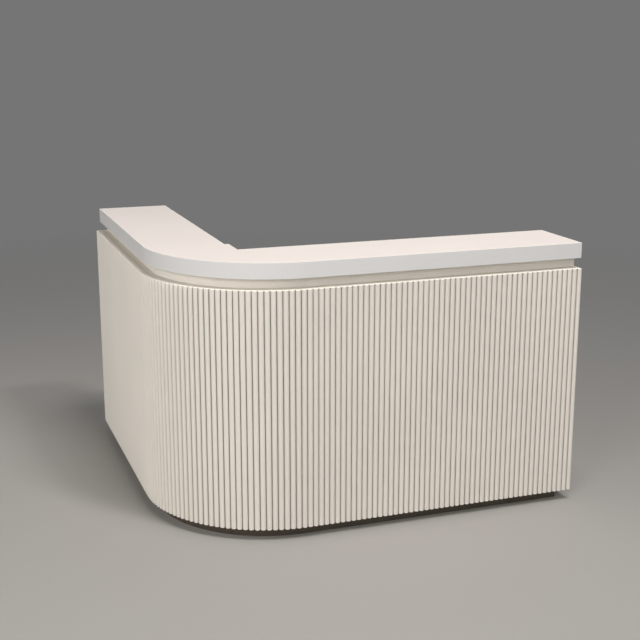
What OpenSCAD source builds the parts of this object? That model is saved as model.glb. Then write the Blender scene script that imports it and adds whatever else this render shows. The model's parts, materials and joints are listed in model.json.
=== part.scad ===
// L-shaped checkout counter with a fluted, radiused customer front and a fitted staff side.
// Plan coordinates run from the outer corner: X along the front run, Y along the return run,
// both measured from the crests of the ribs. in_place() moves them to the centre of the footprint.

/* [Overall] */
// Length of the front run
front_len = 1620; // [1560:20:2000]
// Length of the return run
return_len = 1500; // [1400:20:1900]
// Height of the customer top above the floor
height = 1050; // [1000:10:1150]
// Outer corner radius at the rib crests
corner_r = 506; // [440:2:560]

/* [Fluted cladding] */
// Rib spacing; the end of the front run trims its last rib, the rest rounds to whole ribs
rib_pitch = 21.54; // [21:0.02:26]
// Width of one half-round rib
rib_w = 19.5; // [17:0.5:20]
// Depth of the grooves between ribs
rib_depth = 12; // [11:0.5:14]
// Thickness of the sheet behind the ribs
backer_t = 9; // [8:1:12]

/* [Plinth and neck] */
// Height of the recessed plinth
plinth_h = 42; // [30:2:100]
// Distance of the plinth behind the rib crests and the right end
plinth_in = 44; // [30:1:60]
// Thickness of the plinth boards
plinth_t = 15; // [12:1:18]
// Height of the recessed neck between cladding and slab
neck_h = 40; // [20:5:80]
// Distance of the neck behind the rib crests
neck_in = 50; // [40:1:60]
// Distance of the neck from the open ends of both runs
neck_end_in = 5; // [2:1:20]

/* [Customer slab] */
// Thickness of the slab
slab_t = 60; // [40:5:80]
// Overall depth of the front slab
front_slab_d = 306; // [280:2:340]
// Overall depth of the return slab
return_slab_d = 303; // [290:1:340]
// Distance of the front slab edge behind the rib crests
slab_front_in = 8; // [0:1:20]
// Distance of the return slab edge behind the rib crests
slab_side_in = 17; // [0:1:20]
// Distance of the return slab's free end from the end of the run
slab_back_in = 11; // [0:1:20]
// Plan distance of the joint between the two slabs from the front crests
slab_join = 436; // [380:2:460]
// How far the front slab steps out past the return slab at their joint
slab_step = 17; // [0:1:30]

/* [Staff side] */
// Height of the staff worktop
worktop_h = 750; // [700:10:760]
// Thickness of the staff worktop
worktop_t = 25; // [18:1:40]
// Depth of the worktop on both runs, from the rib crests
worktop_d = 600; // [580:10:640]
// Thickness of the cabinet boards
board_t = 18; // [16:1:19]
// Clear width inside the drawer pedestal and the cupboard
bay_w = 422; // [400:2:440]
// Clear width between the hangers of the till drawer
till_w = 394; // [360:2:400]

/* [Hidden] */

$fn = 64;
corner_fn = 360;
far = 3000;

// Colours
cream = "#ded7ca";
pale_top = "#efe6dc";
dark_plinth = "#3b3833";
carcass = "#d9d2c6";
bare_board = "#cbb999";
metal = "#b8bcc0";
black_nylon = "#232323";

// Layers of the customer side, as distances behind the rib crests
flute_t = rib_depth + backer_t;
core_in = flute_t;
core_back = core_in + board_t;
neck_back = neck_in + board_t;

// Levels
clad_top = height - slab_t - neck_h;
clad_h = clad_top - plinth_h;
slab_z = height - slab_t;
deck_top = plinth_h + board_t;
worktop_z = worktop_h - worktop_t;

// Ribs
rib_r = rib_w / 2;
pitch_line_in = 26;
return_ribs = round((return_len - corner_r) / rib_pitch);
corner_ribs = round((corner_r - pitch_line_in) * PI / 2 / rib_pitch);

// Slab plan
slab_r_less = 10;
slab_r = corner_r - slab_r_less;
front_slab_y = slab_front_in + front_slab_d;
return_slab_x = slab_side_in + return_slab_d;

// Depths of the upper shelves, staff side
front_shelf_d = 300;
return_shelf_d = 310;
shelf_edge_in = 20;
neck_overhang = 18;

// Staff side: cabinet faces sit just behind the worktop edge
face_in = 2;
face_d = worktop_d - face_in;
front_back = face_d - board_t;
front_gap = 2;
row_gap = 3;
kick_in = 40;

// Drawer pedestal, against the right end panel
pedestal_r = front_len - board_t;
pedestal_l = pedestal_r - bay_w;
pedestal_out = pedestal_l - board_t;

// Cupboard, against the return end panel, and the open bay beside it
cupboard_far = return_len - board_t;
cupboard_near = cupboard_far - bay_w;
bay_far = cupboard_near - board_t;
corner_post_w = 40;
bay_near = worktop_d + corner_post_w;
shelf_z = 380;
shelf_play = 1;
shelf_back = 60;
shelf_front = 560;
pin_r = 2.5;
pin_len = 8;

// Till drawer, hung under the middle of the knee space
till_l = (worktop_d + pedestal_out - till_w) / 2;
till_r = till_l + till_w;
till_front_h = 100;

// Drawer fronts fill the height between base deck and worktop
fronts_z = deck_top + front_gap;
fronts_h = worktop_z - row_gap - fronts_z;
small_front_share = 0.245;
small_front_h = round(fronts_h * small_front_share);
large_front_h = fronts_h - 2 * small_front_h - 2 * row_gap;

// How much lower each drawer box is than its front
large_box_less = 70;
small_box_less = 60;
till_box_less = 30;

// Each drawer: [left bay face, right bay face, underside of front, height of front, box height]
fronts_top = fronts_z + fronts_h;
middle_z = fronts_z + large_front_h + row_gap;
small_box_h = small_front_h - small_box_less;
bottom_drawer = [pedestal_l, pedestal_r, fronts_z, large_front_h, large_front_h - large_box_less];
middle_drawer = [pedestal_l, pedestal_r, middle_z, small_front_h, small_box_h];
top_drawer = [pedestal_l, pedestal_r, fronts_top - small_front_h, small_front_h, small_box_h];
till_drawer = [till_l, till_r, fronts_top - till_front_h, till_front_h, till_front_h - till_box_less];

// Drawer box
box_len = 500;
box_wall = 12;
box_floor_t = 6;
box_floor_up = 10;
box_lift = 20;
runner_gap = 13;
runner_h = 45;
runner_in = 4;

// Fixed runner channel and the rail that slides in it
channel_d = 9;
channel_wall = 1.5;
rail_web_t = 1.5;
rail_nose_h = 25;

// Handles
handle_len = 160;
handle_r = 5;
post_r = 4;
post_out = 30;
post_in = 16;

// Cam lock in the top drawer front
lock_x = (pedestal_l + pedestal_r) / 2;
lock_down = 28;
lock_z = worktop_z - lock_down;
lock_r = 9;
plug_r = 6;
plug_play = 0.05;
lock_flange_r = 11;
cam_t = 3;
cam_w = 10;
cam_len = 22;
cam_reach = 10;
cam_back = front_back - cam_reach;
catch_reach = 5;

// Butt hinges of the cupboard door
knuckle_r = 4;
hinge_pin_r = 2;
pin_play = 0.05;
hinge_h = 60;
leaf_t = 0.9;
leaf_d = 26;
leaf_out = 1;
leaf_play = 0.2;
hinge_x = face_d + knuckle_r;
hinge_y = cupboard_far - front_gap / 2;
hinge_inset = 90;
hinge_zs = [fronts_z + hinge_inset, fronts_top - hinge_inset - hinge_h];

// Cable grommet
grommet_x = 470;
grommet_y = 470;
grommet_hole_r = 30;
grommet_bore_r = 27;
grommet_flange_r = 35;
grommet_flange_t = 2;

// Floor anchors
anchor_w = 40;
anchor_t = 4;
anchor_hole_r = 4.5;
front_anchor_spacing = 600;
return_anchor_spacing = 500;

// ---- shared shapes ----

// Moves plan coordinates so that the origin is the centre of the footprint
module in_place() {
    translate([-front_len / 2, -return_len / 2, 0]) children();
}

// Quarter disc about the centre of the outer corner
module corner_sector(r) {
    intersection() {
        translate([corner_r, corner_r]) circle(r = r, $fn = corner_fn);
        square(corner_r);
    }
}

// Quarter ring that follows the outer corner
module corner_band(inset, t) {
    difference() {
        corner_sector(corner_r - inset);
        translate([corner_r, corner_r]) circle(r = corner_r - inset - t, $fn = corner_fn);
    }
}

// Full block with the rounded outer corner, set behind the crests and in from both ends
module block_plan(inset, end_in) {
    corner_sector(corner_r - inset);
    translate([corner_r, inset])
        square([front_len - end_in - corner_r, return_len - end_in - inset]);
    translate([inset, corner_r])
        square([corner_r - inset, return_len - end_in - corner_r]);
}

// L-shaped board: the block without the staff area
module l_plan(inset, end_in, front_d, return_d) {
    difference() {
        block_plan(inset, end_in);
        translate([return_d, front_d]) square(far);
    }
}

// Straight board of the front run
module front_board(inset, t, end_in, z, h) {
    translate([corner_r, inset, z]) cube([front_len - end_in - corner_r, t, h]);
}

// Straight board of the return run
module return_board(inset, t, end_in, z, h) {
    translate([inset, corner_r, z]) cube([t, return_len - end_in - corner_r, h]);
}

// Curved board of the outer corner
module corner_board(inset, t, z, h) {
    translate([0, 0, z]) linear_extrude(h) corner_band(inset, t);
}

// A row of half-round ribs on their backing sheet, along +X with the crests on y = 0
module straight_flutes(len, pitch) {
    translate([0, 0, plinth_h]) linear_extrude(clad_h) {
        translate([0, rib_depth]) square([len, backer_t]);
        intersection() {
            for (i = [0:ceil(len / pitch) - 1])
                translate([(i + 0.5) * pitch, rib_r]) circle(r = rib_r);
            square([len, flute_t]);
        }
    }
}

// ---- customer side ----

module front_fluted_panel() {
    color(cream) translate([corner_r, 0, 0]) straight_flutes(front_len - corner_r, rib_pitch);
}

module return_fluted_panel() {
    len = return_len - corner_r;
    color(cream) translate([0, return_len, 0]) rotate([0, 0, -90])
        straight_flutes(len, len / return_ribs);
}

// Point at radius r and angle a
function polar(r, a) = [r * cos(a), r * sin(a)];

// Arc of one corner rib from groove to groove, about the corner centre
function corner_rib(turn) =
    let (steps = 14, sweep = 90 + asin((rib_depth - rib_r) / rib_r))
    [for (i = [0:steps])
        let (a = -sweep + 2 * sweep * i / steps)
        polar(corner_r - rib_r, turn) + polar(rib_r, turn + a)];

// The ribs stand round the corner like the staves of a barrel
module corner_fluted_panel() {
    step = 90 / corner_ribs;
    groove_r = corner_r - rib_depth;
    ribs = [for (i = [0:corner_ribs - 1]) each corner_rib(180 + (i + 0.5) * step)];
    outline = concat([[0, 0], polar(groove_r, 180)], ribs, [polar(groove_r, 270)]);
    color(cream) translate([corner_r, corner_r, plinth_h]) linear_extrude(clad_h) difference() {
        polygon(outline);
        circle(r = corner_r - flute_t, $fn = corner_fn);
    }
}

module front_core_panel() {
    color(carcass) front_board(core_in, board_t, board_t, plinth_h, clad_h);
}

module corner_core_panel() {
    color(carcass) corner_board(core_in, board_t, plinth_h, clad_h);
}

module return_core_panel() {
    color(carcass) return_board(core_in, board_t, board_t, plinth_h, clad_h);
}

module front_neck_rail() {
    color(cream) front_board(neck_in, board_t, neck_end_in, clad_top, neck_h);
}

module corner_neck_rail() {
    color(cream) corner_board(neck_in, board_t, clad_top, neck_h);
}

module return_neck_rail() {
    color(cream) return_board(neck_in, board_t, neck_end_in, clad_top, neck_h);
}

// Staff-side rails and end rails that close the neck into a box frame
module inner_neck_rails() {
    front_y = front_shelf_d - neck_overhang;
    return_x = return_shelf_d - neck_overhang;
    end_x = front_len - neck_end_in;
    end_y = return_len - neck_end_in;
    color(cream) translate([0, 0, clad_top]) {
        translate([return_x, front_y - board_t, 0]) cube([end_x - return_x, board_t, neck_h]);
        translate([return_x - board_t, front_y - board_t, 0])
            cube([board_t, end_y - front_y + board_t, neck_h]);
        translate([end_x - board_t, neck_back, 0])
            cube([board_t, front_y - board_t - neck_back, neck_h]);
        translate([neck_back, end_y - board_t, 0])
            cube([return_x - board_t - neck_back, board_t, neck_h]);
    }
}

// Outline of the whole customer top with its radiused corner, before the staff edges are cut
module slab_block() {
    centre = [slab_side_in + slab_r, slab_front_in + slab_r];
    end_y = return_len - slab_back_in;
    intersection() {
        translate(centre) circle(r = slab_r, $fn = corner_fn);
        square(centre);
    }
    translate([centre.x, slab_front_in]) square([front_len - centre.x, end_y - slab_front_in]);
    translate([slab_side_in, centre.y]) square([slab_r, end_y - centre.y]);
}

module front_slab() {
    color(pale_top) translate([0, 0, slab_z]) linear_extrude(slab_t) difference() {
        slab_block();
        translate([return_slab_x + slab_step, front_slab_y]) square(far);
        translate([0, slab_join]) square(far);
    }
}

module return_slab() {
    color(pale_top) translate([0, 0, slab_z]) linear_extrude(slab_t) difference() {
        slab_block();
        translate([return_slab_x, 0]) square(far);
        square([far, slab_join]);
    }
}

// ---- carcass ----

module top_deck() {
    color(carcass) translate([0, 0, clad_top - board_t]) linear_extrude(board_t)
        l_plan(core_back, board_t, front_shelf_d, return_shelf_d);
}

module front_worktop() {
    color(pale_top) translate([worktop_d, core_back, worktop_z])
        cube([pedestal_r - worktop_d, worktop_d - core_back, worktop_t]);
}

module return_worktop() {
    color(pale_top) translate([0, 0, worktop_z]) linear_extrude(worktop_t) difference() {
        block_plan(core_back, board_t);
        translate([worktop_d, 0]) square(far);
        translate([grommet_x, grommet_y]) circle(r = grommet_hole_r);
    }
}

// L-shaped floor of the cabinets, narrow under the knee space and deep under the pedestal
module base_deck() {
    color(carcass) translate([0, 0, plinth_h]) linear_extrude(board_t) {
        l_plan(core_back, board_t, front_shelf_d, face_d);
        translate([pedestal_out, core_back]) square([pedestal_r - pedestal_out, face_d - core_back]);
    }
}

// Gable outline in depth and height: full height at the front, worktop height at the staff side
module gable_plan(upper_d) {
    cove_r = 60;
    translate([flute_t, plinth_h]) square([face_d - flute_t, worktop_h - plinth_h]);
    translate([flute_t, worktop_h]) square([upper_d - flute_t, clad_top - worktop_h]);
    translate([upper_d, worktop_h]) difference() {
        square(cove_r);
        translate([cove_r, cove_r]) circle(r = cove_r);
    }
}

module right_end_panel() {
    color(cream) translate([pedestal_r, 0, 0]) rotate([90, 0, 90]) linear_extrude(board_t)
        gable_plan(front_shelf_d);
}

module return_end_panel() {
    color(cream) translate([0, return_len, 0]) rotate([90, 0, 0]) linear_extrude(board_t)
        gable_plan(return_shelf_d);
}

module pedestal_side_panel() {
    color(carcass) translate([pedestal_out, core_back, deck_top])
        cube([board_t, face_d - core_back, worktop_z - deck_top]);
}

// Upright board across the return run, from the core panel to the cabinet face
module return_upright(y) {
    color(carcass) translate([core_back, y, deck_top])
        cube([face_d - core_back, board_t, worktop_z - deck_top]);
}

module corner_side_panel() {
    return_upright(bay_near - board_t);
}

module bay_divider() {
    return_upright(bay_far);
}

// Uprights between worktop and top deck that make the pigeonholes
module shelf_dividers() {
    per_run = 3;
    h = clad_top - board_t - worktop_h;
    color(carcass) for (i = [0:per_run - 1]) {
        translate([worktop_d + i * (pedestal_r - worktop_d) / per_run, core_back, worktop_h])
            cube([board_t, front_shelf_d - shelf_edge_in - core_back, h]);
        translate([core_back, worktop_d + i * (cupboard_far - worktop_d) / per_run, worktop_h])
            cube([return_shelf_d - shelf_edge_in - core_back, board_t, h]);
    }
}

// Loose shelf of the return run between two uprights
module return_shelf(near, far_face) {
    color(carcass) translate([shelf_back, near + shelf_play, shelf_z])
        cube([shelf_front - shelf_back, far_face - near - 2 * shelf_play, board_t]);
}

module bay_shelf() {
    return_shelf(bay_near, bay_far);
}

module cupboard_shelf() {
    return_shelf(cupboard_near, cupboard_far);
}

// Four pins under each loose shelf
module shelf_pins() {
    from_edge = 40;
    faces = [bay_near, bay_far - pin_len, cupboard_near, cupboard_far - pin_len];
    color(metal) for (y = faces, x = [shelf_back + from_edge, shelf_front - from_edge])
        translate([x, y, shelf_z - pin_r]) rotate([-90, 0, 0]) cylinder(h = pin_len, r = pin_r);
}

// ---- plinth, feet and anchors ----

module front_plinth() {
    color(dark_plinth) front_board(plinth_in, plinth_t, plinth_in, 0, plinth_h);
}

module corner_plinth() {
    color(dark_plinth) corner_board(plinth_in, plinth_t, 0, plinth_h);
}

module return_plinth() {
    color(dark_plinth) return_board(plinth_in, plinth_t, plinth_in, 0, plinth_h);
}

// Plinth boards at the two ends and along the staff side
module inner_plinths() {
    in = plinth_in + plinth_t;
    staff = face_d - kick_in;
    knee_y = front_shelf_d - kick_in;
    pedestal_x = pedestal_out + kick_in;
    end_x = front_len - plinth_in;
    end_y = return_len - plinth_in;
    color(dark_plinth) {
        translate([end_x - plinth_t, in, 0]) cube([plinth_t, staff - in, plinth_h]);
        translate([in, end_y - plinth_t, 0]) cube([staff - in, plinth_t, plinth_h]);
        translate([staff - plinth_t, knee_y - plinth_t, 0])
            cube([plinth_t, end_y - knee_y, plinth_h]);
        translate([staff, knee_y - plinth_t, 0])
            cube([pedestal_x + plinth_t - staff, plinth_t, plinth_h]);
        translate([pedestal_x, knee_y, 0]) cube([plinth_t, staff - plinth_t - knee_y, plinth_h]);
        translate([pedestal_x, staff - plinth_t, 0])
            cube([end_x - plinth_t - pedestal_x, plinth_t, plinth_h]);
    }
}

// Screw feet behind the plinth that carry the base deck
module levelling_feet() {
    pad_r = 20;
    pad_h = 6;
    stem_r = 6;
    near = 150;
    corner = 2 * near;
    staff = 480;
    knee = worktop_d + 50;
    right = front_len - 130;
    back = return_len - 120;
    pedestal = pedestal_out + 110;
    spots = [
        [corner, corner], [knee, near], [(knee + right) / 2, near], [right, near],
        [right, staff], [pedestal, staff],
        [near, knee], [staff, knee], [near, back], [staff, back]
    ];
    color(black_nylon) for (p = spots) translate(p) {
        cylinder(h = pad_h, r = pad_r);
        cylinder(h = plinth_h, r = stem_r);
    }
}

// Angle bracket with its upright leg on y = 0 and a floor bolt hole in the lower leg
module floor_anchor() {
    difference() {
        union() {
            translate([-anchor_w / 2, 0, 0]) cube([anchor_w, anchor_w, anchor_t]);
            translate([-anchor_w / 2, 0, 0]) cube([anchor_w, anchor_t, plinth_h - anchor_t]);
        }
        translate([0, anchor_w / 2, -1]) cylinder(h = anchor_t + 2, r = anchor_hole_r);
    }
}

module floor_anchors() {
    face = plinth_in + plinth_t;
    front_mid = (corner_r + front_len) / 2;
    return_mid = (corner_r + return_len) / 2;
    color(metal) for (side = [-1, 1]) {
        translate([front_mid + side * front_anchor_spacing / 2, face, 0]) floor_anchor();
        translate([face, return_mid + side * return_anchor_spacing / 2, 0])
            rotate([0, 0, -90]) floor_anchor();
    }
}

module cable_grommet() {
    sleeve_play = 0.05;
    color(black_nylon) translate([grommet_x, grommet_y, worktop_z]) difference() {
        union() {
            cylinder(h = worktop_t, r = grommet_hole_r - sleeve_play);
            translate([0, 0, worktop_t]) cylinder(h = grommet_flange_t, r = grommet_flange_r);
        }
        translate([0, 0, -1]) cylinder(h = worktop_t + grommet_flange_t + 2, r = grommet_bore_r);
    }
}

// ---- drawers ----

// Middle height of a drawer's runners
function runner_z(d) = d[2] + box_lift + d[4] / 2;

// Front of a drawer, set between its bay faces
module drawer_front_board(d) {
    translate([d[0] + front_gap, front_back, d[2]])
        cube([d[1] - d[0] - 2 * front_gap, board_t, d[3]]);
}

// Sides, back and floor of a drawer as separate boards
module drawer_box(d) {
    l = d[0] + runner_gap;
    r = d[1] - runner_gap;
    y = front_back - box_len;
    inner_w = r - l - 2 * box_wall;
    color(bare_board) translate([0, 0, d[2] + box_lift]) {
        for (x = [l, r - box_wall]) translate([x, y, 0]) cube([box_wall, box_len, d[4]]);
        translate([l + box_wall, y, box_floor_up]) cube([inner_w, box_len, box_floor_t]);
        translate([l + box_wall, y, box_floor_up + box_floor_t])
            cube([inner_w, box_wall, d[4] - box_floor_up - box_floor_t]);
    }
}

// Bar handle standing on the plane y = 0, along X
module bar_handle() {
    reach = handle_len / 2 - post_in;
    for (side = [-1, 1])
        translate([side * reach, 0, 0]) rotate([-90, 0, 0]) cylinder(h = post_out, r = post_r);
    translate([-handle_len / 2, post_out, 0]) rotate([0, 90, 0])
        cylinder(h = handle_len, r = handle_r);
}

module drawer_handle(d) {
    color(metal) translate([(d[0] + d[1]) / 2, face_d, d[2] + d[3] / 2]) bar_handle();
}

// Channel fixed to a bay face that looks along +X
module fixed_channel() {
    len = box_len - row_gap;
    translate([0, 0, -runner_h / 2]) {
        cube([channel_wall, len, runner_h]);
        for (z = [0, runner_h - channel_wall])
            translate([0, 0, z]) cube([channel_d, len, channel_wall]);
    }
}

// Rail on a drawer side that reaches back towards -X into its channel
module sliding_rail() {
    nose = runner_gap - rail_web_t - runner_in;
    translate([-rail_web_t, 0, -rail_nose_h / 2 - runner_in])
        cube([rail_web_t, box_len, rail_nose_h + 2 * runner_in]);
    translate([-rail_web_t - nose, 0, -rail_nose_h / 2]) cube([nose, box_len, rail_nose_h]);
}

module drawer_channels(d) {
    y = front_back - box_len;
    translate([d[0], y, runner_z(d)]) fixed_channel();
    translate([d[1], y, runner_z(d)]) mirror([1, 0, 0]) fixed_channel();
}

module drawer_rails(d) {
    y = front_back - box_len;
    color(metal) {
        translate([d[0] + runner_gap, y, runner_z(d)]) sliding_rail();
        translate([d[1] - runner_gap, y, runner_z(d)]) mirror([1, 0, 0]) sliding_rail();
    }
}

module fixed_runners() {
    color(metal) {
        drawer_channels(top_drawer);
        drawer_channels(middle_drawer);
        drawer_channels(bottom_drawer);
        drawer_channels(till_drawer);
    }
}

module top_drawer_front() {
    color(cream) difference() {
        drawer_front_board(top_drawer);
        translate([lock_x, front_back - 1, lock_z]) rotate([-90, 0, 0])
            cylinder(h = board_t + 2, r = lock_r);
    }
}

module middle_drawer_front() {
    color(cream) drawer_front_board(middle_drawer);
}

module bottom_drawer_front() {
    color(cream) drawer_front_board(bottom_drawer);
}

// The till front also covers the hangers on both sides of it
module till_drawer_front() {
    color(cream) translate([till_l - board_t, front_back, till_drawer[2]])
        cube([till_w + 2 * board_t, board_t, till_front_h]);
}

// Two boards that hang the till drawer under the worktop
module till_hangers() {
    hang_h = till_front_h + row_gap;
    y = front_back - box_len;
    color(carcass) for (x = [till_l - board_t, till_r])
        translate([x, y, worktop_z - hang_h]) cube([board_t, box_len - row_gap, hang_h]);
}

// Moulded tray with four note bays behind five coin cups
module coin_tray() {
    wall = 3;
    play = 2;
    tray_l = till_l + runner_gap + box_wall + play;
    tray_w = till_w - 2 * (runner_gap + box_wall + play);
    tray_y = front_back - box_len + box_wall + play;
    tray_d = box_len - box_wall - 2 * play;
    tray_h = 50;
    coin_d = 110;
    note_bays = 4;
    coin_cups = 5;
    note_pitch = (tray_w - wall) / note_bays;
    coin_pitch = (tray_w - wall) / coin_cups;
    z = till_drawer[2] + box_lift + box_floor_up + box_floor_t;
    color(black_nylon) translate([tray_l, tray_y, z]) difference() {
        cube([tray_w, tray_d, tray_h]);
        for (i = [0:note_bays - 1]) translate([wall + i * note_pitch, wall, wall])
            cube([note_pitch - wall, tray_d - coin_d - 3 * wall, tray_h]);
        for (i = [0:coin_cups - 1])
            translate([wall + i * coin_pitch, tray_d - coin_d - wall, wall])
                cube([coin_pitch - wall, coin_d, tray_h]);
    }
}

// ---- top drawer lock ----

module lock_housing() {
    back_out = 2;
    flange_t = 2;
    barrel_len = board_t + back_out;
    color(metal) translate([lock_x, front_back - back_out, lock_z]) rotate([-90, 0, 0])
        difference() {
            union() {
                cylinder(h = barrel_len, r = lock_r - plug_play);
                translate([0, 0, barrel_len]) cylinder(h = flange_t, r = lock_flange_r);
            }
            translate([0, 0, -1]) cylinder(h = barrel_len + flange_t + 2, r = plug_r + plug_play);
        }
}

// Rotating plug with a key slot in its face and the locking cam on its tail
module lock_plug() {
    face_out = 3;
    slot_w = 1.5;
    slot_h = 7;
    slot_d = 4;
    len = face_d + face_out - cam_back;
    color(metal) translate([lock_x, cam_back, lock_z]) difference() {
        union() {
            rotate([-90, 0, 0]) cylinder(h = len, r = plug_r);
            translate([-cam_w / 2, 0, -cam_w / 2]) cube([cam_len + cam_w / 2, cam_t, cam_w]);
        }
        translate([-slot_w / 2, len - slot_d, -slot_h / 2]) cube([slot_w, slot_d + 1, slot_h]);
    }
}

// Catch under the worktop that the cam turns up behind
module lock_catch() {
    catch_w = 30;
    catch_t = 2;
    catch_h = 19;
    flange_d = 26;
    y = front_back - catch_reach;
    color(metal) translate([lock_x - catch_w / 2, y, worktop_z]) {
        translate([0, 0, -catch_h]) cube([catch_w, catch_t, catch_h]);
        translate([0, catch_t - flange_d, -catch_t]) cube([catch_w, flange_d, catch_t]);
    }
}

// ---- cupboard door ----

module cupboard_door() {
    color(cream) translate([front_back, cupboard_near + front_gap, fronts_z])
        cube([board_t, bay_w - 2 * front_gap, fronts_h]);
}

// Upright bar handle near the free edge of the door
module door_handle() {
    edge_in = 45;
    grip_down = 180;
    grip_z = worktop_z - grip_down;
    color(metal) translate([face_d, cupboard_near + edge_in, grip_z])
        rotate([0, -90, -90]) bar_handle();
}

// Near face of a hinge leaf on one side of the pin axis
function leaf_y(side) = side > 0 ? leaf_out - leaf_t : -leaf_out;

// One hinge knuckle on the pin axis, with the web that joins it to its leaf on one side
module knuckle(side, z, h, bore_r) {
    web_in = 1;
    difference() {
        union() {
            translate([0, 0, z]) cylinder(h = h, r = knuckle_r);
            translate([-knuckle_r - web_in, leaf_y(side), z])
                cube([knuckle_r, leaf_t, h]);
        }
        translate([0, 0, z - 1]) cylinder(h = h + 2, r = bore_r);
    }
}

// Flat leaf lying against a board edge on one side of the pin axis
module leaf(side) {
    translate([-knuckle_r - leaf_d, leaf_y(side), 0]) cube([leaf_d - leaf_play, leaf_t, hinge_h]);
}

module hinge_fixed_leaves() {
    third = hinge_h / 3;
    color(metal) for (z = hinge_zs) translate([hinge_x, hinge_y, z]) {
        leaf(1);
        knuckle(1, 0, third, hinge_pin_r);
        knuckle(1, 2 * third, third, hinge_pin_r);
    }
}

module hinge_door_leaves() {
    third = hinge_h / 3;
    color(metal) for (z = hinge_zs) translate([hinge_x, hinge_y, z]) {
        leaf(-1);
        knuckle(-1, third + pin_play, third - 2 * pin_play, hinge_pin_r + pin_play);
    }
}

module hinge_pins() {
    head_r = 3;
    head_h = 1.5;
    color(metal) for (z = hinge_zs) translate([hinge_x, hinge_y, z]) {
        cylinder(h = hinge_h, r = hinge_pin_r);
        translate([0, 0, hinge_h]) cylinder(h = head_h, r = head_r);
    }
}

in_place() front_fluted_panel();
in_place() corner_fluted_panel();
in_place() return_fluted_panel();
in_place() front_core_panel();
in_place() corner_core_panel();
in_place() return_core_panel();
in_place() front_neck_rail();
in_place() corner_neck_rail();
in_place() return_neck_rail();
in_place() inner_neck_rails();
in_place() front_slab();
in_place() return_slab();
in_place() top_deck();
in_place() front_worktop();
in_place() return_worktop();
in_place() base_deck();
in_place() right_end_panel();
in_place() return_end_panel();
in_place() pedestal_side_panel();
in_place() corner_side_panel();
in_place() bay_divider();
in_place() shelf_dividers();
in_place() bay_shelf();
in_place() cupboard_shelf();
in_place() shelf_pins();
in_place() front_plinth();
in_place() corner_plinth();
in_place() return_plinth();
in_place() inner_plinths();
in_place() levelling_feet();
in_place() floor_anchors();
in_place() cable_grommet();
in_place() fixed_runners();
in_place() till_hangers();
in_place() top_drawer_front();
in_place() drawer_box(top_drawer);  // top_drawer_box
in_place() drawer_handle(top_drawer);  // top_drawer_handle
in_place() drawer_rails(top_drawer);  // top_drawer_runners
in_place() middle_drawer_front();
in_place() drawer_box(middle_drawer);  // middle_drawer_box
in_place() drawer_handle(middle_drawer);  // middle_drawer_handle
in_place() drawer_rails(middle_drawer);  // middle_drawer_runners
in_place() bottom_drawer_front();
in_place() drawer_box(bottom_drawer);  // bottom_drawer_box
in_place() drawer_handle(bottom_drawer);  // bottom_drawer_handle
in_place() drawer_rails(bottom_drawer);  // bottom_drawer_runners
in_place() till_drawer_front();
in_place() drawer_box(till_drawer);  // till_drawer_box
in_place() drawer_handle(till_drawer);  // till_drawer_handle
in_place() drawer_rails(till_drawer);  // till_drawer_runners
in_place() coin_tray();
in_place() lock_housing();
in_place() lock_plug();
in_place() lock_catch();
in_place() cupboard_door();
in_place() door_handle();
in_place() hinge_fixed_leaves();
in_place() hinge_door_leaves();
in_place() hinge_pins();
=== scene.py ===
"""Looks of the checkout counter: finishes, fluted cladding, eased slabs, floor, light and camera.

Lengths are in metres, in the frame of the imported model: X along the front run, Y towards the staff
side, Z up.
"""

import json
import math

import bmesh
import bpy
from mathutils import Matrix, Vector


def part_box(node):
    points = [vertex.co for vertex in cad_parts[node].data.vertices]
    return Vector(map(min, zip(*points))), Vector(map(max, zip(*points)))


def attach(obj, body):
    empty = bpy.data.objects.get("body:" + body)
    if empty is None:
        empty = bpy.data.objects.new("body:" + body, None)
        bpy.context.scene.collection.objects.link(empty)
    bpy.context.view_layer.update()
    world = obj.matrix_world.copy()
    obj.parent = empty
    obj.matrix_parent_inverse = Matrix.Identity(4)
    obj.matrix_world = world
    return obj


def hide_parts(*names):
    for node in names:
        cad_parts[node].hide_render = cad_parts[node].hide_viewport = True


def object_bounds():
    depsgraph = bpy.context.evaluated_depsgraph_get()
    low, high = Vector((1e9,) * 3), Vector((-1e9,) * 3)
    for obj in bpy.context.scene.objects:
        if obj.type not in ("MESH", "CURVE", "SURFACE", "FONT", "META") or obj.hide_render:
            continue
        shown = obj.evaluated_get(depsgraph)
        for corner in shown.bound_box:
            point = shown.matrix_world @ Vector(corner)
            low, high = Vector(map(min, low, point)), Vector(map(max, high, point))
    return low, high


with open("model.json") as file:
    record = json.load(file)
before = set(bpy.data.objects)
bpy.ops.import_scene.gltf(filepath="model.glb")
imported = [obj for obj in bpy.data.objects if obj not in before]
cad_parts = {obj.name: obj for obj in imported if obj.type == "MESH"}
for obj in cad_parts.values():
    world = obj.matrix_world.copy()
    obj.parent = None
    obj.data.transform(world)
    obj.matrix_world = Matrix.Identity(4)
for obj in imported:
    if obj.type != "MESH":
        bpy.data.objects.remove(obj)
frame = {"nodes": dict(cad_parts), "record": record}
CAD_BOX = [list(corner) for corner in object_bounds()]
MM = 0.001

# ---------------------------------------------------------------- driving sizes

# Fluted cladding. The corner's ribs are counted along a line PITCH_LINE_IN behind its face.
CORNER_R = 0.506
RIB_R = 9.75 * MM
RIB_PITCH = 21.54 * MM
GROOVE_DEPTH = 12 * MM
PITCH_LINE_IN = 26 * MM
RIB_ARC_STEPS = 20
RIB_END_ROUND = 0.8 * MM

# Painted light and wear: the attribute that holds groove depth, how far down a groove the painted
# shade deepens, how much the painted highlight lightens the ledge, and how far from an edge the finish
# is rubbed.
DEPTH_LAYER = "groove_depth"
GROOVE_PAINTED_SHADE = 0.7
LEDGE_PAINTED_LIGHT = 1.17
EDGE_RUB = 1.6 * MM

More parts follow.
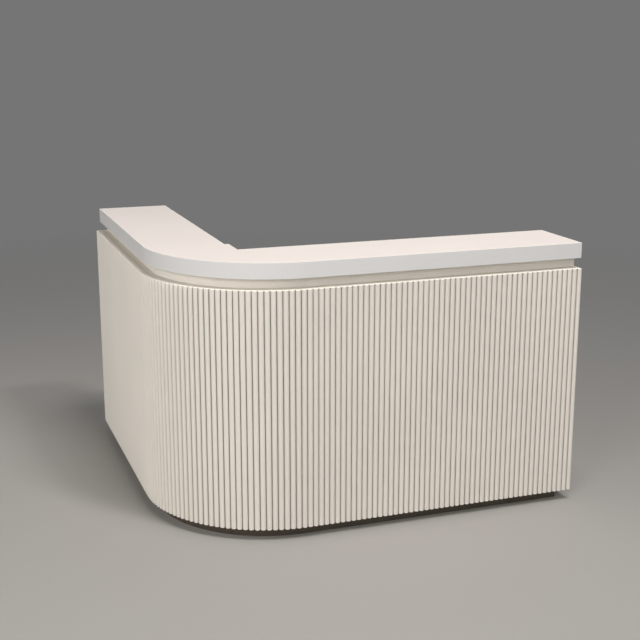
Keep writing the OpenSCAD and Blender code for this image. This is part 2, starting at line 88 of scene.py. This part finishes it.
# Customer slabs. The inner edge steps by SLAB_STEP where the return slab meets the front slab.
SLAB_R = 0.496
SLAB_ARC_STEPS = 96
SLAB_EASE = 1.2 * MM
FRONT_SLAB_DEPTH = 0.306
SLAB_STEP = 17 * MM

# Edges sharper than this are rounded on CAD pieces, and stay crisp in shading.
SHARP_ANGLE = math.radians(40)
TINY = 1e-6

# Camera: yaw and pitch in degrees, lens in millimetres, and the nearest and farthest it sees.
CAMERA_AT = (-1.634, -4.626, 1.864)
CAMERA_YAW = 19.53
CAMERA_PITCH = 14.04
CAMERA_LENS = 66.65
CAMERA_SEES = (0.05, 60.0)

# Floor: solid within the first distance of POOL_AT and gone by the second.
FLOOR_R = 9.0
POOL_AT = (-1.1, -1.1, 0.0)
POOL_FADE = (1.8, 7.5)

# Glow of the surroundings, from its weakest to its strongest, which is behind the counter.
BACK_GLOW_FROM = Vector((0.70, 0.70, 0.15))
BACK_GLOW = (0.03, 0.36)

# Soft lights: direction from AIM, width and height, power in watts, and colour.
AIM = Vector((0.0, 0.0, 0.5))
LIGHT_REACH = 7.0
LIGHTS = {
    "key": ((0.200, -0.500, 0.840), (1.0, 0.5), 140.0, (1.0, 0.98, 0.96)),
    "overhead": ((0.050, -0.320, 0.945), (2.0, 2.0), 212.0, (1.0, 0.975, 0.95)),
    "left_front": ((-0.639, -0.686, 0.342), (2.5, 2.5), 165.0, (1.0, 0.985, 0.965)),
    "front_low": ((0.10, -0.93, 0.36), (3.0, 3.0), 54.0, (0.97, 0.98, 1.0)),
    "left_low": ((-0.95, 0.0, 0.30), (3.0, 3.0), 100.0, (1.0, 0.98, 0.96)),
}

# ---------------------------------------------------------------- node graphs


class Graph:
    """A material's node tree with short calls for the nodes used here."""

    def __init__(self, name):
        self.material = bpy.data.materials.new(name)
        self.material.use_nodes = True
        self.tree = self.material.node_tree
        self.shader = self.tree.nodes["Principled BSDF"]
        self.place = self.add("ShaderNodeTexCoord").outputs["Object"]

    def add(self, kind, inputs=None, **settings):
        node = self.tree.nodes.new(kind)
        for key, value in settings.items():
            setattr(node, key, value)
        for key, value in (inputs or {}).items():
            self.put(node, key, value)
        return node

    def put(self, node, key, value):
        if isinstance(value, bpy.types.NodeSocket):
            self.tree.links.new(value, node.inputs[key])
        else:
            node.inputs[key].default_value = value

    def set(self, **inputs):
        for key, value in inputs.items():
            self.put(self.shader, key.replace("_", " "), value)

    def stretched(self, scale):
        """Object coordinates scaled along each axis."""
        return self.add("ShaderNodeMapping", {"Vector": self.place, "Scale": scale}).outputs["Vector"]

    def noise(self, scale, detail=3.0, rough=0.5, vector=None, distortion=0.0):
        inputs = {
            "Vector": vector or self.place,
            "Scale": scale,
            "Detail": detail,
            "Roughness": rough,
            "Distortion": distortion,
        }
        return self.add("ShaderNodeTexNoise", inputs).outputs["Fac"]

    def remap(self, value, low, high, from_low=0.3, from_high=0.7):
        inputs = {
            "Value": value,
            "From Min": from_low,
            "From Max": from_high,
            "To Min": low,
            "To Max": high,
        }
        return self.add("ShaderNodeMapRange", inputs).outputs["Result"]

    def math(self, operation, a, b):
        return self.add("ShaderNodeMath", {0: a, 1: b}, operation=operation).outputs[0]

    def facing_up(self, low, high):
        """Runs from low on upright faces to high on faces that look up."""
        normal = self.add("ShaderNodeNewGeometry").outputs["Normal"]
        height = self.add("ShaderNodeSeparateXYZ", {"Vector": normal}).outputs["Z"]
        return self.remap(height, low, high, 0.45, 0.75)

    def rubbed_edges(self, radius):
        """Runs from 0 on flat faces to 1 along edges, broken up by noise."""
        rounded = self.add("ShaderNodeBevel", {"Radius": radius}, samples=4).outputs["Normal"]
        flat = self.add("ShaderNodeNewGeometry").outputs["Normal"]
        compare = self.add("ShaderNodeVectorMath", {0: rounded, 1: flat}, operation="DOT_PRODUCT")
        edge = self.remap(compare.outputs["Value"], 1.0, 0.0, 0.80, 0.985)
        return self.math("MULTIPLY", edge, self.remap(self.noise(28.0, 4.0), 0.3, 1.0))

    def mix(self, factor, a, b):
        """Colour a where factor is 0 and b where it is 1."""
        return self.add("ShaderNodeMix", {0: factor, 6: a, 7: b}, data_type="RGBA").outputs[2]

    def bump(self, height, distance, strength):
        inputs = {"Height": height, "Distance": distance, "Strength": strength}
        return self.add("ShaderNodeBump", inputs).outputs["Normal"]


def rgb(r, g, b):
    """Scene colour from sRGB values of 0 to 255."""
    def linear(v):
        v /= 255
        return v / 12.92 if v <= 0.04045 else ((v + 0.055) / 1.055) ** 2.4
    return (linear(r), linear(g), linear(b), 1.0)


def shade(colour, factor):
    return tuple(c * factor for c in colour[:3]) + (1.0,)


def lacquer(name, colour, roughness, grooves=False):
    """Sprayed satin lacquer with a cloudy tone and faint orange peel.

    Fluted pieces have painted shade that darkens the grooves and a painted highlight on the ledge.
    Others have rubbed edges.
    """
    g = Graph(name)
    cloud = g.noise(2.4, 4.0)
    speck = g.noise(420.0, 2.0)
    tone = g.mix(g.remap(cloud, 0.0, 1.0), shade(colour, 0.975), shade(colour, 1.02))
    tone = g.mix(g.remap(speck, 0.0, 0.05), tone, shade(colour, 0.8))
    if grooves:
        # Painted shade: the grooves darken with depth, except on faces that look up.
        depth = g.add("ShaderNodeAttribute", attribute_name=DEPTH_LAYER).outputs["Fac"]
        dust_and_groove_shade = g.math("MULTIPLY", g.remap(depth, 0.0, GROOVE_PAINTED_SHADE, 0.4, 0.95), g.facing_up(1.0, 0.0))
        tone = g.mix(dust_and_groove_shade, tone, shade(colour, 0.45))
        # Painted highlight: faces that look up, such as the ledge, are lightened.
        tone = g.mix(g.facing_up(0.0, 1.0), tone, shade(colour, LEDGE_PAINTED_LIGHT))
    else:
        tone = g.mix(g.rubbed_edges(EDGE_RUB), tone, shade(colour, 1.12))
    worn = g.noise(16.0, 5.0, 0.6)
    peel = g.noise(520.0, 2.0)
    g.set(Base_Color=tone, Roughness=g.remap(worn, roughness - 0.05, roughness + 0.07))
    g.set(Normal=g.bump(peel, 0.00005, 0.35))
    g.shader.inputs["Coat Weight"].default_value = 0.06
    g.shader.inputs["Coat Roughness"].default_value = 0.35
    return g.material


def slab_surface(name, top, edge, roughness):
    """Matt solid surface with fine mineral grain; the top is a lighter, warmer white as painted light,
    and the edge band a cooler, darker white as painted shade.
    """
    g = Graph(name)
    painted_light_top = g.facing_up(0.0, 1.0)
    cloud = g.noise(3.0, 5.0, 0.55)
    grain = g.noise(900.0, 2.0, 0.7)
    # Painted light and shade: the top takes the lighter, warmer colour and the edges the cooler, darker
    # one.
    tone = g.mix(painted_light_top, edge, top)
    tone = g.mix(g.remap(cloud, 0.0, 0.35), tone, g.mix(painted_light_top, shade(edge, 0.955), shade(top, 0.955)))
    tone = g.mix(g.remap(grain, 0.0, 0.10, 0.55, 0.75), tone, shade(edge, 0.62))
    rubbed = g.noise(11.0, 6.0, 0.65)
    g.set(Base_Color=tone, Roughness=g.remap(rubbed, roughness - 0.06, roughness + 0.08))
    g.set(Normal=g.bump(grain, 0.00004, 0.3))
    return g.material


def laminate(name, colour, roughness, grain_axis, contrast):
    """Dark or pale laminate with a pressed linear grain along one axis."""
    g = Graph(name)
    scale = [60.0, 60.0, 60.0]
    scale[grain_axis] = 2.5
    fibres = g.noise(6.0, 6.0, 0.6, g.stretched(scale))
    tone = g.mix(g.remap(fibres, 0.0, 1.0), shade(colour, 1 - contrast), shade(colour, 1 + contrast))
    tone = g.mix(g.rubbed_edges(EDGE_RUB), tone, shade(colour, 1.1 + contrast))
    scuffs = g.noise(9.0, 6.0, 0.7)
    g.set(Base_Color=tone, Roughness=g.remap(scuffs, roughness - 0.08, roughness + 0.1))
    g.set(Normal=g.bump(fibres, 0.00008, 0.4))
    return g.material


def birch(name):
    """Clear-lacquered birch board with long soft figure along Y."""
    g = Graph(name)
    figure = g.noise(3.0, 5.0, 0.55, g.stretched((24.0, 1.6, 24.0)), 1.2)
    pores = g.noise(8.0, 4.0, 0.7, g.stretched((220.0, 9.0, 220.0)))
    tone = g.mix(g.remap(figure, 0.0, 1.0), rgb(222, 193, 150), rgb(199, 163, 116))
    tone = g.mix(g.remap(pores, 0.0, 0.35, 0.5, 0.75), tone, rgb(150, 112, 72))
    g.set(Base_Color=tone, Roughness=g.remap(figure, 0.36, 0.5))
    g.set(Normal=g.bump(pores, 0.00006, 0.4))
    return g.material


def brushed(name, colour, roughness, axis):
    """Metal with fine brush lines along one axis and duller patches where it is handled."""
    g = Graph(name)
    scale = [900.0, 900.0, 900.0]
    scale[axis] = 12.0
    lines = g.noise(1.0, 4.0, 0.7, g.stretched(scale))
    touch = g.noise(35.0, 5.0, 0.6)
    tone = g.mix(g.remap(lines, 0.0, 1.0), shade(colour, 0.86), shade(colour, 1.08))
    rough = g.math("ADD", g.remap(lines, -0.04, 0.05), g.remap(touch, roughness - 0.04, roughness + 0.1))
    g.set(Base_Color=tone, Metallic=1.0, Roughness=rough)
    g.set(Normal=g.bump(lines, 0.00003, 0.5))
    return g.material


def plated(name, colour, roughness):
    """Bright plating with faint crystal bloom and fingerprints."""
    g = Graph(name)
    bloom = g.add("ShaderNodeTexVoronoi", {"Vector": g.place, "Scale": 140.0}).outputs["Distance"]
    haze = g.noise(40.0, 5.0, 0.65)
    tone = g.mix(g.remap(bloom, 0.0, 1.0, 0.0, 0.8), shade(colour, 1.05), shade(colour, 0.82))
    g.set(Base_Color=tone, Metallic=1.0, Roughness=g.remap(haze, roughness - 0.05, roughness + 0.12))
    g.set(Normal=g.bump(haze, 0.00002, 0.3))
    return g.material


def moulded(name, colour, roughness):
    """Moulded plastic with a fine spark-eroded texture."""
    g = Graph(name)
    texture = g.noise(1600.0, 2.0, 0.6)
    wear = g.noise(25.0, 5.0, 0.6)
    tone = g.mix(g.remap(wear, 0.0, 1.0), shade(colour, 0.85), shade(colour, 1.25))
    g.set(Base_Color=tone, Roughness=g.remap(wear, roughness - 0.06, roughness + 0.08))
    g.set(Normal=g.bump(texture, 0.00006, 0.5))
    return g.material


CREAM = rgb(235, 229, 220)
MATERIALS = {
    "cladding": lacquer("cream_lacquer", CREAM, 0.52, grooves=True),
    "fronts": lacquer("cream_lacquer_fronts", shade(CREAM, 1.02), 0.46),
    # The slab and the worktop each take a top colour with painted light and a darker edge colour with
    # painted shade.
    "slab": slab_surface("pale_solid_surface", rgb(242, 233, 227), rgb(226, 225, 224), 0.5),
    "worktop": slab_surface("worktop_laminate", rgb(231, 225, 215), rgb(222, 219, 213), 0.45),
    "plinth": laminate("dark_plinth_laminate", rgb(78, 70, 60), 0.34, 0, 0.22),
    "carcass": laminate("melamine_board", rgb(222, 216, 205), 0.5, 2, 0.035),
    "drawer_board": birch("birch_board"),
    "black_plastic": moulded("black_nylon", rgb(34, 34, 35), 0.5),
    "handles": brushed("brushed_steel", rgb(188, 188, 186), 0.28, 0),
    "zinc_steel": plated("zinc_plate", rgb(196, 199, 204), 0.3),
    "chrome_parts": plated("nickel_plate", rgb(205, 204, 200), 0.16),
}
SLOT_OF = {part["node"]: part["material_slot"] for part in frame["record"]["subparts"]}


def paint(piece, material):
    piece.data.materials.clear()
    piece.data.materials.append(material)


# ---------------------------------------------------------------- fluted cladding


def rib_section(half_pitch, boundary, shrink):
    """One rib from its left groove to its right groove, as (along, depth) pairs behind the crest.

    boundary(depth) gives the point halfway along the groove floor at that depth.
    """
    radius = RIB_R - shrink
    floor = GROOVE_DEPTH + shrink
    sink = math.asin(min(1.0, (floor - RIB_R) / radius))
    sweep = math.pi / 2 + sink
    points = [boundary(floor, -half_pitch)]
    for i in range(RIB_ARC_STEPS + 1):
        a = -sweep + 2 * sweep * i / RIB_ARC_STEPS
        points.append((radius * math.sin(a), RIB_R - radius * math.cos(a)))
    return points


def smooth_rounds(mesh):
    """Shades the ribs round and keeps their ends crisp."""
    mesh.shade_smooth()
    mesh.set_sharp_from_angle(angle=SHARP_ANGLE)


def flute_mesh(name, cells, boundary, half_pitch, back_depth, z_low, z_high):
    """Closed mesh of a row of ribs. Each cell places one rib, and the last also closes the row."""
    bm = bmesh.new()
    sunk = bm.verts.layers.float.new(DEPTH_LAYER)

    def spot(place, along, depth, z):
        vert = bm.verts.new(place(along, depth, z))
        vert[sunk] = min(1.0, depth / GROOVE_DEPTH)
        return vert

    levels = [
        (z_low, RIB_END_ROUND),
        (z_low + RIB_END_ROUND, 0.0),
        (z_high - RIB_END_ROUND, 0.0),
        (z_high, RIB_END_ROUND),
    ]
    per_cell = RIB_ARC_STEPS + 2
    rings = []
    for z, shrink in levels:
        section = rib_section(half_pitch, boundary, shrink)
        ring = []
        for place in cells:
            ring += [spot(place, along, depth, z) for along, depth in section]
        ring.append(spot(cells[-1], *boundary(GROOVE_DEPTH + shrink, half_pitch), z))
        rings.append(ring)
    backs = []
    for z in (z_low, z_high):
        back = [spot(place, *boundary(back_depth, -half_pitch), z) for place in cells]
        back.append(spot(cells[-1], *boundary(back_depth, half_pitch), z))
        backs.append(back)
    low_back, high_back = backs
    for lower, upper in zip(rings, rings[1:]):
        for i in range(len(lower) - 1):
            bm.faces.new((lower[i], lower[i + 1], upper[i + 1], upper[i]))
    for c in range(len(cells)):
        first, last = c * per_cell, (c + 1) * per_cell
        bm.faces.new([low_back[c], low_back[c + 1]] + rings[0][first:last + 1][::-1])
        bm.faces.new([high_back[c + 1], high_back[c]] + rings[-1][first:last + 1])
        bm.faces.new((low_back[c + 1], low_back[c], high_back[c], high_back[c + 1]))
    bm.faces.new([low_back[0]] + [ring[0] for ring in rings] + [high_back[0]])
    bm.faces.new(([low_back[-1]] + [ring[-1] for ring in rings] + [high_back[-1]])[::-1])
    bmesh.ops.recalc_face_normals(bm, faces=bm.faces)
    mesh = bpy.data.meshes.new(name)
    bm.to_mesh(mesh)
    bm.free()
    smooth_rounds(mesh)
    piece = bpy.data.objects.new(name, mesh)
    bpy.context.scene.collection.objects.link(piece)
    return piece


def straight_boundary(depth, along):
    return (along, depth)


def straight_flutes(name, node, start, along, inward, count, pitch):
    """Ribs of a straight run: start is the crest line's end, along and inward are unit vectors."""
    low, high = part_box(node)
    back_depth = min(high.x - low.x, high.y - low.y)

    def placer(i):
        origin = start + along * (i + 0.5) * pitch
        return lambda a, d, z: (origin + along * a + inward * d).to_3d() + Vector((0, 0, z))

    cells = [placer(i) for i in range(count)]
    return flute_mesh(name, cells, straight_boundary, pitch / 2, back_depth, low.z, high.z)


def corner_flutes(name, node, back_depth):
    """Ribs round the outer corner, spaced by angle about the corner's centre."""
    low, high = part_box(node)
    centre = Vector(CAD_BOX[0][:2]) + Vector((CORNER_R, CORNER_R))
    count = round((CORNER_R - PITCH_LINE_IN) * math.pi / 2 / RIB_PITCH)
    half = math.pi / 4 / count

    def boundary(depth, side):
        turn = math.copysign(half, side)
        reach = CORNER_R - depth
        return (reach * math.sin(turn), CORNER_R - reach * math.cos(turn))

    def placer(i):
        turn = math.pi + (2 * i + 1) * half
        out = Vector((math.cos(turn), math.sin(turn)))
        tangent = Vector((-out.y, out.x))
        return lambda a, d, z: (centre + out * (CORNER_R - d) + tangent * a).to_3d() + Vector((0, 0, z))

    cells = [placer(i) for i in range(count)]
    return flute_mesh(name, cells, boundary, half, back_depth, low.z, high.z)


def cut_flat(piece, end_x):
    """Trims a piece square at end_x and closes the cut."""
    bm = bmesh.new()
    bm.from_mesh(piece.data)
    everything = bm.verts[:] + bm.edges[:] + bm.faces[:]
    plane = {"plane_co": (end_x, 0, 0), "plane_no": (1, 0, 0), "dist": TINY / 10}
    cut = bmesh.ops.bisect_plane(bm, geom=everything, clear_outer=True, **plane)
    rim = [part for part in cut["geom_cut"] if isinstance(part, bmesh.types.BMEdge)]
    bmesh.ops.holes_fill(bm, edges=rim)
    bmesh.ops.recalc_face_normals(bm, faces=bm.faces)
    bm.to_mesh(piece.data)
    bm.free()
    smooth_rounds(piece.data)


def front_flutes(start, end_x):
    """The front run keeps the full rib spacing, so its end trims the last rib."""
    count = math.ceil((end_x - start.x) / RIB_PITCH)
    along, inward = Vector((1, 0)), Vector((0, 1))
    node = "front_fluted_panel"
    piece = straight_flutes("front_flutes", node, start, along, inward, count, RIB_PITCH)
    cut_flat(piece, end_x)
    return piece


def return_flutes(start, length):
    """The return run is divided into whole ribs."""
    count = round(length / RIB_PITCH)
    along, inward = Vector((0, -1)), Vector((1, 0))
    node = "return_fluted_panel"
    return straight_flutes("return_flutes", node, start, along, inward, count, length / count)


def build_cladding():
    low, high = Vector(CAD_BOX[0]), Vector(CAD_BOX[1])
    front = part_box("front_fluted_panel")
    backing = front[1].y - front[0].y
    pieces = {
        "front_fluted_panel": front_flutes(Vector((low.x + CORNER_R, low.y)), high.x),
        "return_fluted_panel": return_flutes(Vector((low.x, high.y)), high.y - low.y - CORNER_R),
        "corner_fluted_panel": corner_flutes("corner_flutes", "corner_fluted_panel", backing),
    }
    for node, piece in pieces.items():
        paint(piece, MATERIALS["cladding"])
        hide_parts(node)
        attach(piece, "counter")


# ---------------------------------------------------------------- customer slab


def eased_slab(name, outline, z_low, z_high, join_y):
    """Slab of a plan outline with eased edges, left square where it meets the other slab."""
    bm = bmesh.new()
    base = bm.faces.new([bm.verts.new((x, y, z_low)) for x, y in outline])
    grown = bmesh.ops.extrude_face_region(bm, geom=[base])
    lifted = [part for part in grown["geom"] if isinstance(part, bmesh.types.BMVert)]
    bmesh.ops.translate(bm, verts=lifted, vec=(0, 0, z_high - z_low))
    bmesh.ops.recalc_face_normals(bm, faces=bm.faces)

    def at_join(edge):
        return all(abs(vert.co.y - join_y) < TINY for vert in edge.verts)

    hard = [edge for edge in bm.edges if edge.calc_face_angle() > SHARP_ANGLE and not at_join(edge)]
    bmesh.ops.bevel(bm, geom=hard, offset=SLAB_EASE, segments=3, profile=0.5, affect="EDGES")
    mesh = bpy.data.meshes.new(name)
    bm.to_mesh(mesh)
    bm.free()
    smooth_rounds(mesh)
    piece = bpy.data.objects.new(name, mesh)
    bpy.context.scene.collection.objects.link(piece)
    weighted = piece.modifiers.new("flat_faces", "WEIGHTED_NORMAL")
    weighted.keep_sharp = True
    return piece


def build_slabs():
    """The front slab carries the rounded corner, and the return slab starts a little way round it."""
    front_low, front_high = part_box("front_slab")
    side_low, side_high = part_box("return_slab")
    centre = Vector((side_low.x + SLAB_R, front_low.y + SLAB_R))
    join_y = side_low.y
    join_turn = math.asin((centre.y - join_y) / SLAB_R)

    def arc(start, end, steps):
        turns = [start + (end - start) * i / steps for i in range(steps + 1)]
        return [(centre.x + SLAB_R * math.cos(t), centre.y + SLAB_R * math.sin(t)) for t in turns]

    inner_x = side_high.x + SLAB_STEP
    inner_y = front_low.y + FRONT_SLAB_DEPTH
    front_outline = arc(1.5 * math.pi, math.pi + join_turn, SLAB_ARC_STEPS) + [
        (inner_x, join_y),
        (inner_x, inner_y),
        (front_high.x, inner_y),
        (front_high.x, front_low.y),
    ]
    side_outline = arc(math.pi + join_turn, math.pi, SLAB_ARC_STEPS // 8) + [
        (side_low.x, side_high.y),
        (side_high.x, side_high.y),
        (side_high.x, join_y),
    ]
    outlines = {"front_slab": front_outline, "return_slab": side_outline}
    for node, outline in outlines.items():
        piece = eased_slab("eased_" + node, outline, front_low.z, front_high.z, join_y)
        paint(piece, MATERIALS["slab"])
        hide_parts(node)
        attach(piece, "counter")


# ---------------------------------------------------------------- carried-over CAD pieces

EDGE_ROUND = {
    "front_worktop": 1.5 * MM, "return_worktop": 1.5 * MM,
    "lock_plug": 0.3 * MM, "lock_housing": 0.4 * MM, "lock_catch": 0.3 * MM,
    "hinge_fixed_leaves": 0.15 * MM, "hinge_door_leaves": 0.15 * MM, "hinge_pins": 0.2 * MM,
    "fixed_runners": 0.3 * MM, "coin_tray": 0.8 * MM, "cable_grommet": 0.6 * MM,
}
BOARD_ROUND = 0.8 * MM
REPLACED = {
    "front_fluted_panel", "return_fluted_panel", "corner_fluted_panel", "front_slab", "return_slab",
}


def soften(piece, width):
    """Welds the imported facets together and rounds the sharp edges."""
    weld = piece.modifiers.new("weld", "WELD")
    weld.merge_threshold = 0.00001
    bevel = piece.modifiers.new("edge_round", "BEVEL")
    bevel.width = width
    bevel.segments = 3
    bevel.limit_method = "ANGLE"
    bevel.angle_limit = SHARP_ANGLE
    bevel.harden_normals = True
    bevel.use_clamp_overlap = True


def finish_cad_pieces():
    """Paints every CAD piece and rounds the edges of those that show their own mesh."""
    for name, piece in frame["nodes"].items():
        paint(piece, MATERIALS[SLOT_OF[name]])
        if name not in REPLACED:
            soften(piece, EDGE_ROUND.get(name, BOARD_ROUND))


# ---------------------------------------------------------------- studio


def fading_floor():
    """Pale floor that dissolves into the backdrop with distance from the object."""
    bm = bmesh.new()
    bmesh.ops.create_circle(bm, cap_ends=True, radius=FLOOR_R, segments=96)
    mesh = bpy.data.meshes.new("studio_floor")
    bm.to_mesh(mesh)
    bm.free()
    floor = bpy.data.objects.new("studio_floor", mesh)
    bpy.context.scene.collection.objects.link(floor)
    g = Graph("floor_paint")
    dust_and_groove_shade = g.noise(30.0, 5.0, 0.6)
    colour = rgb(165, 162, 158)
    g.set(Base_Color=g.mix(g.remap(dust_and_groove_shade, 0.0, 0.3), colour, shade(colour, 0.97)), Roughness=0.62)
    away = g.add("ShaderNodeVectorMath", {0: g.place, 1: POOL_AT}, operation="DISTANCE")
    fade = g.remap(away.outputs["Value"], 0.0, 1.0, *POOL_FADE)
    clear = g.add("ShaderNodeBsdfTransparent")
    both = g.add("ShaderNodeMixShader", {0: fade, 1: g.shader.outputs[0], 2: clear.outputs[0]})
    g.put(g.tree.nodes["Material Output"], "Surface", both.outputs[0])
    paint(floor, g.material)


def backdrop():
    """Plain grey to the camera. To the object, a soft glow that is strongest from behind."""
    world = bpy.data.worlds.new("studio")
    bpy.context.scene.world = world
    world.use_nodes = True
    nodes, links = world.node_tree.nodes, world.node_tree.links
    background = nodes["Background"]
    background.inputs["Color"].default_value = rgb(117, 117, 117)
    outward = nodes.new("ShaderNodeTexCoord")
    towards = nodes.new("ShaderNodeVectorMath")
    towards.operation = "DOT_PRODUCT"
    towards.inputs[1].default_value = BACK_GLOW_FROM.normalized()
    strength = nodes.new("ShaderNodeMapRange")
    strength.inputs["To Min"].default_value = BACK_GLOW[0]
    strength.inputs["To Max"].default_value = BACK_GLOW[1]
    glow = nodes.new("ShaderNodeBackground")
    glow.inputs["Color"].default_value = (1.0, 1.0, 1.0, 1.0)
    path = nodes.new("ShaderNodeLightPath")
    mix = nodes.new("ShaderNodeMixShader")
    links.new(outward.outputs["Generated"], towards.inputs[0])
    links.new(towards.outputs["Value"], strength.inputs["Value"])
    links.new(strength.outputs["Result"], glow.inputs["Strength"])
    links.new(path.outputs["Is Camera Ray"], mix.inputs[0])
    links.new(glow.outputs[0], mix.inputs[1])
    links.new(background.outputs[0], mix.inputs[2])
    links.new(mix.outputs[0], nodes["World Output"].inputs["Surface"])


def soft_box(name, towards, size, power, colour):
    """Soft light LIGHT_REACH away in a given direction, facing the object."""
    light = bpy.data.lights.new(name, "AREA")
    light.shape = "RECTANGLE"
    light.size, light.size_y = size
    light.energy = power
    light.color = colour
    direction = Vector(towards).normalized()
    lamp = bpy.data.objects.new(name, light)
    lamp.location = AIM + direction * LIGHT_REACH
    lamp.rotation_euler = direction.to_track_quat("Z", "Y").to_euler()
    bpy.context.scene.collection.objects.link(lamp)


def studio():
    fading_floor()
    backdrop()
    for name, settings in LIGHTS.items():
        soft_box(name, *settings)


def camera():
    lens = bpy.data.cameras.new("camera")
    lens.lens = CAMERA_LENS
    lens.clip_start, lens.clip_end = CAMERA_SEES
    eye = bpy.data.objects.new("camera", lens)
    eye.location = CAMERA_AT
    eye.rotation_euler = (math.radians(90 - CAMERA_PITCH), 0.0, math.radians(-CAMERA_YAW))
    bpy.context.scene.collection.objects.link(eye)
    bpy.context.scene.camera = eye


build_cladding()
build_slabs()
finish_cad_pieces()
studio()
camera()
bpy.context.scene.view_settings.view_transform = "Standard"
